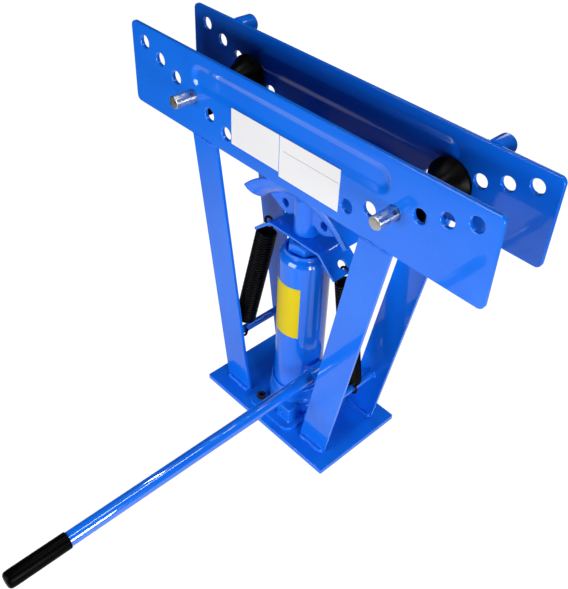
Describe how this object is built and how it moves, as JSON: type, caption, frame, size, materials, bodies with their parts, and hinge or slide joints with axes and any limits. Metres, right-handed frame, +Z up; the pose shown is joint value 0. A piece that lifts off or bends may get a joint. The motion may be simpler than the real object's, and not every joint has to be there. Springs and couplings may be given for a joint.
{
  "type": "hydraulic pipe bender",
  "caption": "Upright pipe bender: a bottle jack in a leaning-leg frame pushes a grooved bending die up between two rollers, and springs pull it back.",
  "frame": {"origin": "centre of the base plate's underside", "axes": "+X along the side plates, to the pump's side; -Y the front, where the handle points; +Z up, the way the ram moves"},
  "size_m": [0.6, 0.5845, 0.5345],
  "materials": {
    "blue_paint": "glossy blue enamel paint",
    "black_paint": "black, half gloss",
    "zinc_plated": "zinc plated",
    "bright_steel": "ground and oiled",
    "black_rubber": "plain black",
    "white_label": "bare white film",
    "yellow_label": "bare yellow film"
  },
  "bodies": {
    "frame": {"base_plate": "blue_paint", "leg_front_left": "blue_paint", "leg_front_right": "blue_paint", "leg_back_left": "blue_paint", "leg_back_right": "blue_paint", "side_plate_front": "blue_paint", "side_plate_back": "blue_paint", "spring_rod_left": "blue_paint", "spring_rod_right": "blue_paint", "rear_peg_left": "blue_paint", "rear_peg_right": "blue_paint", "jack_base": "blue_paint", "jack_screws": "black_paint", "reservoir_tube": "blue_paint", "reservoir_cap": "blue_paint", "pressure_tube": "bright_steel", "top_nut": "blue_paint", "wiper_ring": "black_rubber", "filler_plug": "black_rubber", "overload_screw": "blue_paint", "passage_plug": "blue_paint", "valve_balls": "bright_steel", "pump_barrel": "bright_steel", "pump_gland": "blue_paint", "fulcrum_pin": "zinc_plated", "spring_left": "black_paint", "spring_right": "black_paint", "plate_label_left": "white_label", "plate_label_right": "white_label", "jack_label": "yellow_label"},
    "ram": {"ram": "bright_steel", "piston_seal": "black_rubber", "yoke": "blue_paint"},
    "die": {"bending_die": "blue_paint"},
    "roller_left": {"roller_left": "black_paint"},
    "roller_right": {"roller_right": "black_paint"},
    "pin_left": {"pin_left": "zinc_plated"},
    "pin_right": {"pin_right": "zinc_plated"},
    "lever": {"lever_socket": "blue_paint"},
    "handle": {"handle_tube": "blue_paint", "grip": "black_rubber"},
    "plunger": {"pump_plunger": "bright_steel", "plunger_pin": "zinc_plated"},
    "release_valve": {"release_valve": "blue_paint"}
  },
  "joints": [
    {"name": "ram_slide", "type": "slide", "parent": "frame", "child": "ram", "axis": [0, 0, 1], "range_m": [0, 0.22], "stiffness_N_per_m": 600, "springref_m": -0.1, "deforming": ["spring_left", "spring_right"]},
    {"name": "die_lift", "type": "slide", "parent": "ram", "child": "die", "axis": [0, 0, 1], "range_m": [0, 0.03]},
    {"name": "roller_left_spin", "type": "hinge", "parent": "frame", "child": "roller_left", "pos_m": [-0.1718, 0, 0.4692], "axis": [0, 1, 0], "continuous": true},
    {"name": "roller_right_spin", "type": "hinge", "parent": "frame", "child": "roller_right", "pos_m": [0.1718, 0, 0.4692], "axis": [0, 1, 0], "continuous": true},
    {"name": "pin_left_pull", "type": "slide", "parent": "frame", "child": "pin_left", "axis": [0, 1, 0], "range_m": [0, 0.15]},
    {"name": "pin_right_pull", "type": "slide", "parent": "frame", "child": "pin_right", "axis": [0, 1, 0], "range_m": [0, 0.15]},
    {"name": "lever_pivot", "type": "hinge", "parent": "frame", "child": "lever", "pos_m": [0.05, 0.01817, 0.086], "axis": [-1, 0, 0], "range_deg": [0, 45]},
    {"name": "handle_pull", "type": "slide", "parent": "lever", "child": "handle", "axis": [0, -1, 0], "range_m": [0, 0.06]},
    {"name": "plunger_slide", "type": "slide", "parent": "frame", "child": "plunger", "axis": [0, 0, 1], "range_m": [0, 0.0184]},
    {"name": "release_turn", "type": "hinge", "parent": "frame", "child": "release_valve", "pos_m": [0.05, -0.03, 0.022], "axis": [0, 1, 0], "range_deg": [0, 180]}
  ],
  "couplings": [
    {"joint": "plunger_slide", "follows": "lever_pivot", "m_per_rad": 0.02339}
  ]
}
